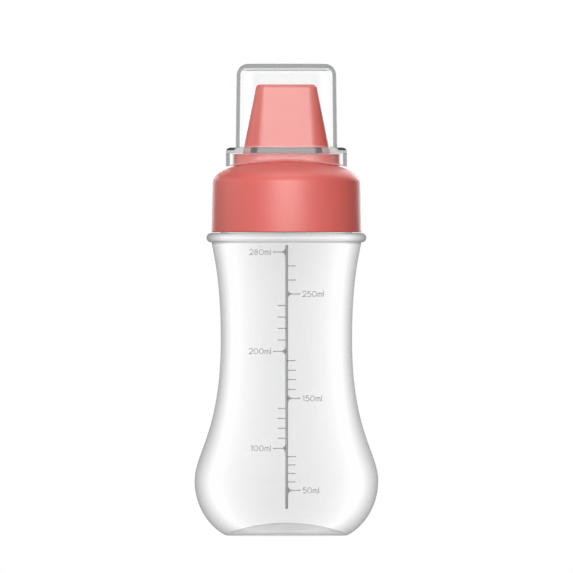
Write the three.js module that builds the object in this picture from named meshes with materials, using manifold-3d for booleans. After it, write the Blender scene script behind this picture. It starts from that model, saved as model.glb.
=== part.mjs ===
// A squeeze bottle for sauces, in millimetres, +Z up, standing on z = 0 with its axis on Z.
//
// A waisted, thin-walled bottle with a bead under its neck carries a screw collar. The collar's
// domed top has a raised platform with a slot, and through it stands a tall flat nozzle with a
// row of holes. The nozzle's flange and a soft ring under it are clamped on the bottle's rim.
// A clear dust cap slips over the nozzle and sits down round the platform.
import * as THREE from "three";
import { mergeVertices, toCreasedNormals } from "three/addons/utils/BufferGeometryUtils.js";
import Module from "manifold-3d";

const wasm = await Module();
wasm.setup();

// Bottle: outside form, wall and base
const bulgeRadius = 35.8;
const bulgeHeight = 21.3;
const waistRadius = 25.6;
const waistHeight = 76.3;
const shoulderHeight = 114.25;
const bottleWall = 0.9;
const standingRadius = 23;
const standingWidth = 5;
const heelRounding = 2.2;
const pushUpRise = 3.7;
const floorThickness = 1.25;
const beadProud = 2;
const beadThickness = 3.7;

// Slopes of the outside form, and how far each curve's handles reach along its own height
const heelSlope = THREE.MathUtils.degToRad(24);
const shoulderLeanShare = 0.15;
const heelHandleShare = 0.235;
const underBulgeHandleShare = 0.54;
const overBulgeHandleShare = 0.2;
const underWaistHandleShare = 0.655;
const overWaistHandleShare = 0.632;
const shoulderHandleShare = 0.105;

// Neck and its soft sealing ring
const neckRadius = 25.6;
const neckWall = 1.5;
const neckHeight = 17.45;
const neckFloor = 1.6;
const rimChamfer = 0.4;
const gasketThickness = 1.8;
const gasketLip = 0.8;

// Screw collar, its dome and the platform on it
const threadDepth = 1.2;
const threadClearance = 0.5;
const collarWall = 1.9;
const collarDraft = 0.4;
const collarFootGap = 0.3;
const footRounding = 0.5;
const seatWidth = 3.3;
const seatDrop = 1;
const domeRise = 9.1;
const domeWall = 1.7;
const platformStep = 2.1;
const platformMargin = 3.6;
const platformWall = 1.8;
const platformRounding = 0.6;
const deckThickness = 1.8;

// Nozzle: every outline here has straight sides and half round ends. The end offset is the
// distance from the axis to the middle of an end.
const endOffset = 8.9;
const nozzleRootRadius = 8.3;
const nozzleHeight = 27.1;
const tipEndOffset = 8.2;
const tipRadius = 3.8;
const tipRounding = 1.6;
const tipTopWall = 1.8;
const tipWall = 1.1;
const nozzleWall = 1.4;
const flangeThickness = 1.4;
const flangeOverhang = 0.6;
const nozzleDomeRise = 4.4;
const holeCount = 5;
const holeRadius = 0.9;

// Dust cap
const capGap = 1;
const capWall = 1.6;
const capTopWall = 1.9;
const capDraft = 0.4;
const capRounding = 4.4;
const capHeadroom = 6.1;
const ledgeThickness = 1.8;
const ledgeRounding = 1.7;
const skirtGap = 0.8;
const skirtWall = 2;
const hemGap = 1;

// Clearance round pieces that fit into each other, and how far a cut runs past its face
const fitGap = 0.3;
const overrun = 2;

// Fineness of the round forms
const turnSteps = 56;
const endSteps = 12;
const holeSteps = 12;
const roundingSteps = 4;
const domeSteps = 7;

// Radii that follow from what fits round what
const neckBore = neckRadius - neckWall;
const collarBore = neckRadius + threadDepth + threadClearance;
const collarRadius = collarBore + collarWall;
const shoulderRadius = collarRadius;
const domeRadius = collarRadius - collarDraft;
const seatInnerRadius = collarBore - seatWidth;
const flangeRadius = neckRadius + flangeOverhang;
const gasketBore = neckBore - gasketLip;
const nozzleDomeRadius = seatInnerRadius - fitGap;
const nozzleRootBore = nozzleRootRadius - nozzleWall;
const slotRadius = nozzleRootRadius + fitGap;
const platformRadius = nozzleRootRadius + platformMargin;
const capInnerRadius = nozzleRootRadius + capGap;
const capOuterRadius = capInnerRadius + capWall;
const skirtInnerRadius = platformRadius + skirtGap;
const skirtOuterRadius = skirtInnerRadius + skirtWall;

// Heights, from the bead up through the clamped stack to the top of the dust cap
const beadTop = shoulderHeight + beadThickness;
const rimHeight = beadTop + neckHeight;
const flangeBottom = rimHeight + gasketThickness;
const seatHeight = flangeBottom + flangeThickness;
const domeBase = seatHeight - seatDrop;
const platformTop = domeBase + domeRise + platformStep;
const tipHeight = platformTop + nozzleHeight;
const capInnerTop = tipHeight + capHeadroom;
const ledgeBottom = platformTop + fitGap;
const ledgeTop = ledgeBottom + ledgeThickness;

// Turns a closed geometry into a solid that can be joined and cut.
function solidOf(geometry) {
  geometry.deleteAttribute("normal");
  geometry.deleteAttribute("uv");
  const merged = mergeVertices(geometry);
  const corners = merged.index.array;
  const triangles = [];
  for (let i = 0; i < corners.length; i += 3) {
    const [a, b, c] = corners.subarray(i, i + 3);
    if (a !== b && b !== c && c !== a) triangles.push(a, b, c);
  }
  const vertProperties = merged.getAttribute("position").array;
  const triVerts = new Uint32Array(triangles);
  return new wasm.Manifold(new wasm.Mesh({ numProp: 3, vertProperties, triVerts }));
}

// Gives a solid back as a mesh, with its sharp edges kept sharp.
function meshOf(name, solid, material) {
  const { vertProperties, triVerts } = solid.getMesh();
  const geometry = new THREE.BufferGeometry();
  geometry.setAttribute("position", new THREE.BufferAttribute(vertProperties, 3));
  geometry.setIndex(new THREE.BufferAttribute(triVerts, 1));
  const mesh = new THREE.Mesh(toCreasedNormals(geometry, Math.PI / 6), material);
  mesh.name = name;
  return mesh;
}

// A profile point: distance from the axis, and height.
function at(radius, height) {
  return new THREE.Vector2(radius, height);
}

// Points along a curve, moved to its left by an inset, which is inwards on a profile going up.
function along(curve, steps, inset = 0) {
  return Array.from({ length: steps + 1 }, (_, i) => {
    const point = curve.getPoint(i / steps);
    const tangent = curve.getTangent(i / steps);
    return at(point.x - inset * tangent.y, point.y + inset * tangent.x);
  });
}

// An arc of an ellipse, anticlockwise from one angle to another, or back if the second is less.
function arc(middle, radiusAcross, radiusUp, from, to) {
  return new THREE.EllipseCurve(middle.x, middle.y, radiusAcross, radiusUp, from, to, to < from);
}

// A solid of revolution round Z. The profile runs anticlockwise and starts and ends on the axis,
// or closes on itself.
function turned(profile) {
  return solidOf(new THREE.LatheGeometry(profile, turnSteps).rotateX(Math.PI / 2));
}

// The points where a dome's profile runs from its edge to the axis.
function domeProfile(radius, rise, base) {
  const points = along(arc(at(0, base), radius, rise, 0, Math.PI / 2), domeSteps);
  points[points.length - 1].x = 0;
  return points;
}

// A solid dome that goes down to a level below its base.
function domeSolid(radius, rise, base, bottom) {
  return turned([at(0, bottom), at(radius, bottom), ...domeProfile(radius, rise, base)]);
}

// A solid through level outlines with straight sides and half round ends, from the lowest up.
function lofted(levels) {
  const ring = 2 * (endSteps + 1);
  const positions = [];
  for (const { height, offset, radius } of levels) {
    for (const side of [1, -1]) {
      for (let step = 0; step <= endSteps; step++) {
        const angle = Math.PI * (step / endSteps - 0.5);
        const x = side * (offset + radius * Math.cos(angle));
        positions.push(x, side * radius * Math.sin(angle), height);
      }
    }
  }
  const corners = [];
  const last = (levels.length - 1) * ring;
  for (let start = 0; start < last; start += ring) {
    for (let i = 0; i < ring; i++) {
      const here = start + i;
      const next = start + ((i + 1) % ring);
      corners.push(here, next, next + ring, here, next + ring, here + ring);
    }
  }
  for (let i = 1; i < ring - 1; i++) {
    corners.push(0, i + 1, i, last, last + i, last + i + 1);
  }
  const geometry = new THREE.BufferGeometry();
  geometry.setAttribute("position", new THREE.Float32BufferAttribute(positions, 3));
  geometry.setIndex(corners);
  return solidOf(geometry);
}

// The levels of a rounded top edge, from where the rounding starts up to the flat top.
function roundedTop(height, offset, radius, rounding) {
  return Array.from({ length: roundingSteps + 1 }, (_, i) => {
    const angle = (Math.PI / 2) * (i / roundingSteps);
    return {
      height: height - rounding * (1 - Math.sin(angle)),
      offset,
      radius: radius - rounding * (1 - Math.cos(angle)),
    };
  });
}

// The curves of the bottle's outside, from the heel up to the bead.
function bottleCurves() {
  const heelMiddle = at(standingRadius, heelRounding);
  const heel = arc(heelMiddle, heelRounding, heelRounding, -Math.PI / 2, heelSlope - Math.PI / 2);
  const heelEnd = heel.getPoint(1);
  const heelReach = heelHandleShare * bulgeHeight;
  const rise = waistHeight - bulgeHeight;
  const flare = shoulderHeight - waistHeight;
  const shoulderReach = shoulderHandleShare * flare;
  const lower = new THREE.CubicBezierCurve(
    heelEnd,
    at(heelEnd.x + heelReach * Math.cos(heelSlope), heelEnd.y + heelReach * Math.sin(heelSlope)),
    at(bulgeRadius, bulgeHeight * (1 - underBulgeHandleShare)),
    at(bulgeRadius, bulgeHeight),
  );
  const middle = new THREE.CubicBezierCurve(
    at(bulgeRadius, bulgeHeight),
    at(bulgeRadius, bulgeHeight + overBulgeHandleShare * rise),
    at(waistRadius, waistHeight - underWaistHandleShare * rise),
    at(waistRadius, waistHeight),
  );
  const upper = new THREE.CubicBezierCurve(
    at(waistRadius, waistHeight),
    at(waistRadius, waistHeight + overWaistHandleShare * flare),
    at(shoulderRadius - shoulderLeanShare * shoulderReach, shoulderHeight - shoulderReach),
    at(shoulderRadius, shoulderHeight),
  );
  return { heel, lower, middle, upper };
}

// A shallow arch: the part of a sphere that rises from foot by rise over its radius, drawn from
// the outside to the middle.
function arch(radius, foot, rise) {
  const sphere = (radius ** 2 + rise ** 2) / (2 * rise);
  const reach = Math.asin(radius / sphere);
  return arc(
    at(0, foot + rise - sphere), sphere, sphere, Math.PI / 2 - reach, Math.PI / 2,
  );
}

// The bottle is one shell: pushed up base, waisted wall, bead, shoulder and open neck. Its floor
// arches from heel to heel, wider than the push-up, so the base is thickest over the standing ring.
function makeBottleBody(material) {
  const { heel, lower, middle, upper } = bottleCurves();
  const underside = arch(standingRadius - standingWidth, 0, pushUpRise);
  const floor = arch(standingRadius, bottleWall, pushUpRise + floorThickness - bottleWall);
  const bead = arc(
    at(shoulderRadius, shoulderHeight + beadThickness / 2),
    beadProud, beadThickness / 2, -Math.PI / 2, Math.PI / 2,
  );
  const innerUpper = along(upper, 5, bottleWall);
  const innerTop = innerUpper[innerUpper.length - 1];
  const innerShoulder = arc(
    at(neckBore, innerTop.y),
    innerTop.x - neckBore, beadTop - neckFloor - innerTop.y, 0, Math.PI / 2,
  );
  const innerWall = [
    ...along(heel, 1, bottleWall),
    ...along(lower, 4, bottleWall).slice(1),
    ...along(middle, 7, bottleWall).slice(1),
    ...innerUpper.slice(1),
    ...along(innerShoulder, 2).slice(1),
  ];
  const profile = [
    ...along(underside, 3).reverse(),
    ...along(heel, 2),
    ...along(lower, 7).slice(1),
    ...along(middle, 10).slice(1),
    ...along(upper, 7).slice(1),
    ...along(bead, 6).slice(1),
    at(neckRadius, beadTop),
    at(neckRadius, rimHeight - rimChamfer),
    at(neckRadius - rimChamfer, rimHeight),
    at(neckBore, rimHeight),
    ...innerWall.reverse(),
    ...along(floor, 4).slice(1),
  ];
  profile[0].x = 0;
  profile[profile.length - 1].x = 0;
  return meshOf("bottle_body", turned(profile), material);
}

// The soft ring lies on the bottle's rim, under the nozzle's flange.
function makeNeckGasket(material) {
  const ring = turned([
    at(gasketBore, rimHeight),
    at(flangeRadius, rimHeight),
    at(flangeRadius, flangeBottom),
    at(gasketBore, flangeBottom),
    at(gasketBore, rimHeight),
  ]);
  return meshOf("neck_gasket", ring, material);
}

// The collar is a smooth cup with a domed top. Its bore ends in a flat seat that presses on the
// nozzle's flange, and its platform is hollow, with a slot through the deck for the nozzle.
function makeScrewCollar(material) {
  const footHeight = beadTop + collarFootGap;
  const cup = turned([
    at(0, footHeight),
    at(collarRadius - footRounding, footHeight),
    at(collarRadius, footHeight + footRounding),
    ...domeProfile(domeRadius, domeRise, domeBase),
  ]);
  const platform = lofted([
    { height: seatHeight, offset: endOffset, radius: platformRadius },
    ...roundedTop(platformTop, endOffset, platformRadius, platformRounding),
  ]);
  const innerRadius = domeRadius - domeWall;
  const innerRise = domeRise - domeWall;
  const seatAngle = Math.acos(seatInnerRadius / innerRadius);
  const innerDome = along(
    arc(at(0, domeBase), innerRadius, innerRise, seatAngle, Math.PI / 2), domeSteps - 1,
  );
  innerDome[innerDome.length - 1].x = 0;
  const cavity = turned([
    at(0, footHeight - overrun),
    at(collarBore, footHeight - overrun),
    at(collarBore, seatHeight),
    at(seatInnerRadius, seatHeight),
    ...innerDome,
  ]);
  const deckBottom = platformTop - deckThickness;
  const hollow = lofted([
    { height: seatHeight, offset: endOffset, radius: platformRadius - platformWall },
    { height: deckBottom, offset: endOffset, radius: platformRadius - platformWall },
  ]);
  const slot = lofted([
    { height: deckBottom - overrun, offset: endOffset, radius: slotRadius },
    { height: platformTop + overrun, offset: endOffset, radius: slotRadius },
  ]);
  const collar = cup.add(platform).subtract(cavity).subtract(hollow).subtract(slot);
  return meshOf("screw_collar", collar, material);
}

// The nozzle is one hollow moulding: a flange on a shallow dome, a straight root that fills the
// collar's slot, and a blade that narrows to a rounded tip with a row of holes.
function makeNozzle(material) {
  const flange = turned([
    at(0, flangeBottom),
    at(flangeRadius, flangeBottom),
    at(flangeRadius, seatHeight),
    ...domeProfile(nozzleDomeRadius, nozzleDomeRise, seatHeight),
  ]);
  const tipTop = roundedTop(tipHeight, tipEndOffset, tipRadius, tipRounding);
  const blade = lofted([
    { height: seatHeight, offset: endOffset, radius: nozzleRootRadius },
    { height: platformTop, offset: endOffset, radius: nozzleRootRadius },
    ...tipTop,
  ]);
  const chamber = domeSolid(
    gasketBore, nozzleDomeRise, flangeBottom, flangeBottom - overrun,
  );
  const channel = lofted([
    { height: flangeBottom - overrun, offset: endOffset, radius: nozzleRootBore },
    { height: platformTop, offset: endOffset, radius: nozzleRootBore },
    { height: tipHeight - tipTopWall, offset: tipEndOffset, radius: tipRadius - tipWall },
  ]);
  let nozzle = flange.add(blade).subtract(chamber).subtract(channel);
  const holePitch = (2 * tipEndOffset) / (holeCount - 1);
  for (let i = 0; i < holeCount; i++) {
    const length = tipTopWall + 2 * overrun;
    const hole = new THREE.CylinderGeometry(holeRadius, holeRadius, length, holeSteps);
    hole.rotateX(Math.PI / 2);
    hole.translate(i * holePitch - tipEndOffset, 0, tipHeight - tipTopWall / 2);
    nozzle = nozzle.subtract(solidOf(hole));
  }
  return meshOf("nozzle", nozzle, material);
}

// The dust cap is a clear box over the nozzle, with a ledge that rests on the platform and a
// skirt round the platform. The skirt's hem follows the collar's dome.
function makeDustCap(material) {
  const outside = lofted([
    { height: ledgeBottom, offset: endOffset, radius: capOuterRadius },
    ...roundedTop(
      capInnerTop + capTopWall, endOffset, capOuterRadius - capDraft, capRounding,
    ),
  ]);
  const skirt = lofted([
    { height: domeBase, offset: endOffset, radius: skirtOuterRadius },
    ...roundedTop(ledgeTop, endOffset, skirtOuterRadius, ledgeRounding),
  ]);
  const inside = lofted([
    { height: ledgeBottom - overrun, offset: endOffset, radius: capInnerRadius },
    ...roundedTop(capInnerTop, endOffset, capInnerRadius - capDraft, capRounding - capWall),
  ]);
  const socket = lofted([
    { height: domeBase - overrun, offset: endOffset, radius: skirtInnerRadius },
    { height: ledgeBottom, offset: endOffset, radius: skirtInnerRadius },
  ]);
  const dome = domeSolid(domeRadius, domeRise, domeBase + hemGap, domeBase - overrun);
  const cap = outside.add(skirt).subtract(inside).subtract(socket).subtract(dome);
  return meshOf("dust_cap", cap, material);
}

const milkyPlastic = new THREE.MeshStandardMaterial({
  color: 0xecebe6, roughness: 0.35, metalness: 0, transparent: true, opacity: 0.6,
});
const siliconeRubber = new THREE.MeshStandardMaterial({
  color: 0xf2f0ea, roughness: 0.6, metalness: 0,
});
const coralPlastic = new THREE.MeshStandardMaterial({
  color: 0xe0766b, roughness: 0.35, metalness: 0,
});
const nozzlePlastic = new THREE.MeshStandardMaterial({
  color: 0xe67d72, roughness: 0.4, metalness: 0,
});
const clearPlastic = new THREE.MeshStandardMaterial({
  color: 0xf7f8f8, roughness: 0.1, metalness: 0, transparent: true, opacity: 0.3,
});

const squeezeBottle = new THREE.Group();
squeezeBottle.add(
  makeBottleBody(milkyPlastic),
  makeNeckGasket(siliconeRubber),
  makeScrewCollar(coralPlastic),
  makeNozzle(nozzlePlastic),
  makeDustCap(clearPlastic),
);

export default squeezeBottle;
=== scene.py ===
"""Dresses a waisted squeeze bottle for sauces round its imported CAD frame, for a studio picture.

The bottle, its soft ring, the screw collar, the nozzle and the dust cap are modelled again as
smooth pieces in the places that the frame gives them, with the threads and the printed volume
scale that the solids leave out. Sizes are in millimetres, and MM turns them into metres.
"""
import logging
import math
from collections.abc import Callable
from dataclasses import dataclass, field
from enum import Enum
from functools import partial

import bmesh
import bpy
import numpy as np
from mathutils import Matrix, Vector
from mathutils.geometry import interpolate_bezier


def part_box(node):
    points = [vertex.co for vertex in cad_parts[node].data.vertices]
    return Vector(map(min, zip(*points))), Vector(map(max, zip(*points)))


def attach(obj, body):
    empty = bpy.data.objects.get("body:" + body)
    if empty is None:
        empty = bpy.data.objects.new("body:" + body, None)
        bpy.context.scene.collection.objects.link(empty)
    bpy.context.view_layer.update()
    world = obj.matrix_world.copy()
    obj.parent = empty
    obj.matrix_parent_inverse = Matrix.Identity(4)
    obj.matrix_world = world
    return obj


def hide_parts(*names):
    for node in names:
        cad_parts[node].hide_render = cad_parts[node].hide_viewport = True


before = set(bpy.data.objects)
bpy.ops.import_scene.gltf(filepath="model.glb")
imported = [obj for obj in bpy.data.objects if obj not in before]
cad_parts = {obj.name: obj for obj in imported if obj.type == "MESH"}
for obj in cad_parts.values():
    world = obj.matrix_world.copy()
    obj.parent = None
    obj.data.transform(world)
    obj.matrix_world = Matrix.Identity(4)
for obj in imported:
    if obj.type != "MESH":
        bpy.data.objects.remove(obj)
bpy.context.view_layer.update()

MM = 0.001
TURN_STEPS = 144  # the straight steps round a turned piece
OBLONG_STEPS = 112  # the same for one that is pulled oblong
SHARP_ANGLE = math.radians(31)  # a fold past this stays a crease, and others are smoothed
SAME_PLACE = 1e-5  # how near two points of a section count as one
CUT_TOLERANCE = 1e-7  # how near a cutting plane a point counts as on it, in metres
ALMOST_UP = 89.9  # where a dome's arc stops short of the axis, in degrees
OVERRUN = 2.0  # how far a cutting form runs past the face that it cuts
INNER_SKIN = "inner_skin"  # 0 on the outside of the bottle's wall and 1 on its inside
FADE = {"To Min": 1.0, "To Max": 0.0}  # turns a rising range into a falling one
AddNode = Callable[..., bpy.types.Node]  # what adds a node to one tree

log = logging.getLogger("squeeze_bottle")


class Body(Enum):
    """The bodies of the frame that pieces ride on."""

    BOTTLE = "bottle"
    GASKET = "gasket"
    COLLAR = "collar"
    DUST_CAP = "dust_cap"


class Slot(Enum):
    """The record's material slots."""

    BOTTLE = "translucent_bottle"
    RING = "silicone_ring"
    COLLAR = "coral_collar"
    NOZZLE = "coral_nozzle"
    CAP = "clear_cap"
    PRINT = "scale_print"


class Join(Enum):
    """How one form is worked into another."""

    ADD = "UNION"
    CUT = "DIFFERENCE"


class Side(Enum):
    """Which side of the scale's main line a mark stands on."""

    LEFT = -1
    RIGHT = 1


def linear(code: str) -> tuple[float, float, float, float]:
    """Turns an sRGB hex colour into linear red, green, blue and alpha.

    Args:
        code: the colour as "#RRGGBB".
    Returns:
        The four linear values, with an alpha of 1.
    """
    shares = [int(code[i:i + 2], 16) / 255 for i in (1, 3, 5)]
    red, green, blue = (
        c / 12.92 if c <= 0.04045 else ((c + 0.055) / 1.055) ** 2.4 for c in shares
    )
    return red, green, blue, 1.0


WHITE = linear("#FFFFFF")


def add_node(
    tree: bpy.types.NodeTree, kind: str, links: dict | None = None, **settings: object
) -> bpy.types.Node:
    """Adds a node to a tree, with its settings and what feeds its sockets.

    Args:
        tree: the tree of a material or of the world.
        kind: the node's type, without the words ShaderNode in front.
        links: for a socket's name or number, the output or the plain value that it takes. A
            node stands for its first output.
        settings: properties of the node itself.
    Returns:
        The new node.
    """
    node = tree.nodes.new("ShaderNode" + kind)
    for name, value in settings.items():
        setattr(node, name, value)
    for socket, value in (links or {}).items():
        if isinstance(value, bpy.types.Node):
            value = value.outputs[0]
        if isinstance(value, bpy.types.NodeSocket):
            tree.links.new(value, node.inputs[socket])
        else:
            node.inputs[socket].default_value = value
    return node


def rising(limits: tuple[float, float], unit: float = 1.0) -> dict[str, float]:
    """Gives the two values between which a range rises, as links of its node."""
    return {"From Min": limits[0] * unit, "From Max": limits[1] * unit}


def around(middle: float, change: float) -> dict[str, float]:
    """Gives the two values that lie a change below and above a middle one, as links."""
    return {"To Min": middle - change, "To Max": middle + change}


def within(low: float, high: float) -> dict[int, float]:
    """Gives the middle and the reach of a span in millimetres, as links of a comparison."""
    return {1: (low + high) / 2 * MM, 2: (high - low) / 2 * MM}


@dataclass(frozen=True)
class Finish:
    """What all finishes share: a name for what the material is, and how it is put together."""

    name: str

    def surface(self, add: AddNode) -> bpy.types.Node:
        """Builds the nodes of the surface, which each finish does in its own way.

        Args:
            add: adds a node to the material's tree.
        Returns:
            The last shader.
        """
        raise NotImplementedError

    def material(self) -> bpy.types.Material:
        """Builds the material.

        Returns:
            The material.
        """
        material = bpy.data.materials.new(self.name)
        material.use_nodes = True
        material.node_tree.nodes.clear()
        add = partial(add_node, material.node_tree)
        add("OutputMaterial", {"Surface": self.surface(add)})
        return material


@dataclass(frozen=True)
class MouldedPolypropylene(Finish):
    """Coral polypropylene, injection moulded in a finely eroded mould.

    The mould's grain leaves a satin skin that spreads highlights, and the melt's flow leaves a
    hardly visible change of depth in the colour.
    """

    colour: str = "#E0685F"
    deep_colour: str = "#DA6159"
    roughness: float = 0.48
    roughness_change: float = 0.03
    ior: float = 1.49
    specular: float = 1.0
    grain: float = 0.45  # the real grain is about 0.05 mm, too fine to show, so it is coarser
    grain_depth: float = 0.012
    grain_strength: float = 0.5
    flow_width: float = 22.0  # one change of depth over about the width of the collar's dome

    def surface(self, add: AddNode) -> bpy.types.Node:
        """Builds the grained skin over the colour's slow changes.

        Args:
            add: adds a node to the material's tree.
        Returns:
            The last shader.
        """
        place = add("TexCoord").outputs["Object"]
        flow = add("TexNoise", {
            "Vector": place, "Scale": 1 / (self.flow_width * MM), "Detail": 2.0,
        })
        colour = add("Mix", {
            0: flow, 6: linear(self.deep_colour), 7: linear(self.colour),
        }, data_type="RGBA").outputs[2]
        grain = add("TexNoise", {
            "Vector": place, "Scale": 1 / (self.grain * MM), "Detail": 3.0, "Roughness": 0.6,
        })
        satin = add("MapRange", {"Value": grain, **around(self.roughness, self.roughness_change)})
        skin = add("Bump", {
            "Height": grain, "Strength": self.grain_strength, "Distance": self.grain_depth * MM,
        })
        return add("BsdfPrincipled", {
            "Base Color": colour, "Roughness": satin, "IOR": self.ior,
            "Specular IOR Level": self.specular, "Normal": skin,
        })


@dataclass(frozen=True)
class BlownPolyethylene(Finish):
    """Natural low density polyethylene, blow moulded into a thin milky wall.

    The wall lets most light through where it is seen a little aslant, looks milky face on, and
    turns grey along its outline, where the eye looks along its skin. The bead is thicker, and its
    grey outline reaches further in; its upper and lower faces are painted grey as shade, for the
    collar's shadow above it and the shade under it. The lowest millimetre of the foot is greyer
    too.
    Blowing leaves slow changes of thickness and a fine seam where the two mould halves met, at
    the sides. Slants run from 0 face on to 1 along the skin.
    """

    colour: str = "#C9CACB"
    dim_colour: str = "#C1C1C1"
    roughness: float = 0.3
    ior: float = 1.51
    specular: float = 0.1
    face_on: float = 0.14  # how milky the wall looks face on
    aslant: float = 0.004  # how milky it looks once it is turned far enough away
    milk_power: float = 0.7  # below 1, most of the milkiness is lost in the first slight slant
    clear_slant: float = 0.43  # what the slant, raised to that power, reaches by then
    milk_level: float = 0.375  # 0.5 would leave slopes up or down as milky as upright walls
    along: float = 0.06  # how milky the grey outline is besides
    grey_slants: tuple[float, float] = (0.45, 1.0)  # between which the wall turns grey
    bead: tuple[float, float] = (113.6, 117.9)
    bead_shifts: tuple[float, float] = (-0.12, -0.15)  # what the bead adds to these slants
    bead_painted_shade: float = 0.42  # painted shade: how grey the bead's level faces are, for the collar's shadow above and the shade below
    bead_milk: float = -0.25  # what the bead adds to the milkiness, as a share of it
    foot: tuple[float, float] = (0.75, 1.0)  # the heights between which the extra grey at the bottom fades out
    foot_grey: float = 0.65
    cloud_width: float = 16.0
    cloud_change: float = 0.1
    seam_width: float = 0.35
    seam_depth: float = 0.1
    seam_strength: float = 0.25

    def grey(
        self, add: AddNode, height: bpy.types.NodeSocket, facing: bpy.types.NodeSocket,
        upright: bpy.types.NodeSocket, bead: bpy.types.Node,
    ) -> bpy.types.Node:
        """Finds how much of its full grey the skin shows, with painted shade on the bead's level
        faces.

        Args:
            add: adds a node to the material's tree.
            height: the point's height.
            facing: the slant at which it is seen.
            upright: how far its normal points up.
            bead: 1 on the bead and 0 elsewhere.
        Returns:
            The share, which is 0 on the inner skin.
        """
        start, end = (
            add("Math", {0: bead, 1: shift, 2: slant}, operation="MULTIPLY_ADD")
            for shift, slant in zip(self.bead_shifts, self.grey_slants)
        )
        grey = add("MapRange", {"Value": facing, "From Min": start, "From Max": end})
        # painted shade: the bead's level faces turn grey, for the collar's shadow on its top and
        # the shade under it
        tilt = add("Math", {0: upright}, operation="ABSOLUTE")
        for factor in (self.bead_painted_shade, bead):
            tilt = add("Math", {0: tilt, 1: factor}, operation="MULTIPLY")
        # darker towards the bottom: the lowest millimetre turns grey
        foot = add("MapRange", {
            "Value": height, **rising(self.foot, MM), "To Min": self.foot_grey, "To Max": 0.0,
        })
        inner = add("Attribute", attribute_name=INNER_SKIN).outputs["Fac"]
        outer = add("Math", {0: 1.0, 1: inner}, operation="SUBTRACT")
        for other, operation in ((tilt, "MAXIMUM"), (foot, "MAXIMUM"), (outer, "MULTIPLY")):
            grey = add("Math", {0: grey, 1: other}, operation=operation)
        return grey

    def milk(
        self, add: AddNode, facing: bpy.types.NodeSocket, upright: bpy.types.NodeSocket,
        bead: bpy.types.Node,
    ) -> bpy.types.Node:
        """Finds how milky the wall looks, from how far it is turned away sideways.

        Args:
            add: adds a node to the material's tree.
            facing: the slant at which the point is seen.
            upright: how far its normal points up.
            bead: 1 on the bead and 0 elsewhere.
        Returns:
            The milkiness.
        """
        level = add("Math", {0: upright, 1: upright}, operation="MULTIPLY")
        level = add("Math", {0: 1.0, 1: level}, operation="SUBTRACT")
        level = add("Math", {0: level, 1: self.milk_level}, operation="POWER")
        towards = add("Math", {0: 1.0, 1: facing}, operation="SUBTRACT")
        towards = add("Math", {0: towards, 1: level}, operation="DIVIDE", use_clamp=True)
        turned = add("Math", {0: 1.0, 1: towards}, operation="SUBTRACT")
        turned = add("Math", {0: turned, 1: self.milk_power}, operation="POWER")
        milk = add("MapRange", {
            "Value": turned, **rising((0.0, self.clear_slant)), "To Min": self.face_on,
            "To Max": self.aslant,
        })
        thick = add("Math", {0: bead, 1: self.bead_milk, 2: 1.0}, operation="MULTIPLY_ADD")
        return add("Math", {0: milk, 1: thick}, operation="MULTIPLY")

    def surface(self, add: AddNode) -> bpy.types.Node:
        """Builds the tinted clear wall with its milkiness and its seam.

        Args:
            add: adds a node to the material's tree.
        Returns:
            The last shader.
        """
        place = add("TexCoord").outputs["Object"]
        part = add("SeparateXYZ", {0: place})
        facing = add("LayerWeight", {"Blend": 0.5}).outputs["Facing"]
        upright = add("SeparateXYZ", {0: add("NewGeometry").outputs["Normal"]}).outputs["Z"]
        height = part.outputs["Z"]
        bead = add("Math", {0: height, **within(*self.bead)}, operation="COMPARE")
        grey = self.grey(add, height, facing, upright, bead)
        dim = add("Mix", {0: grey, 6: WHITE, 7: linear(self.dim_colour)}, data_type="RGBA")
        milk = self.milk(add, facing, upright, bead)
        milk = add("Math", {0: grey, 1: self.along, 2: milk}, operation="MULTIPLY_ADD")
        clouds = add("TexNoise", {
            "Vector": place, "Scale": 1 / (self.cloud_width * MM), "Detail": 1.0,
        })
        drift = add("MapRange", {"Value": clouds, **around(1.0, self.cloud_change)})
        milk = add("Math", {0: milk, 1: drift}, operation="MULTIPLY", use_clamp=True)
        offset = add("Math", {0: part.outputs["Y"]}, operation="ABSOLUTE")
        seam = add("MapRange", {
            "Value": offset, **rising((0.0, self.seam_width), MM), **FADE,
        }, interpolation_type="SMOOTHSTEP")
        skin = add("Bump", {
            "Height": seam, "Strength": self.seam_strength, "Distance": self.seam_depth * MM,
        })
        milky = add("BsdfPrincipled", {
            "Base Color": linear(self.colour), "Roughness": self.roughness, "IOR": self.ior,
            "Specular IOR Level": self.specular, "Normal": skin,
        })
        clear = add("BsdfTransparent", {"Color": dim.outputs[2]})
        return add("MixShader", {0: milk, 1: clear, 2: milky})


@dataclass(frozen=True)
class CapPoint:
    """What the clear cap's nodes know of a point: where it lies, and how it is seen."""

    height: bpy.types.NodeSocket
    facing: bpy.types.NodeSocket  # 0 face on and 1 along the surface
    tilt: bpy.types.Node  # 0 on an upright wall and 1 on a level face
    beyond: bpy.types.Node  # how far it lies past the straight part along X
    reach: bpy.types.NodeSocket  # how far it lies from the straight part's middle line
    skirt: bpy.types.Node  # 1 on the skirt and 0 above it


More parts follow.
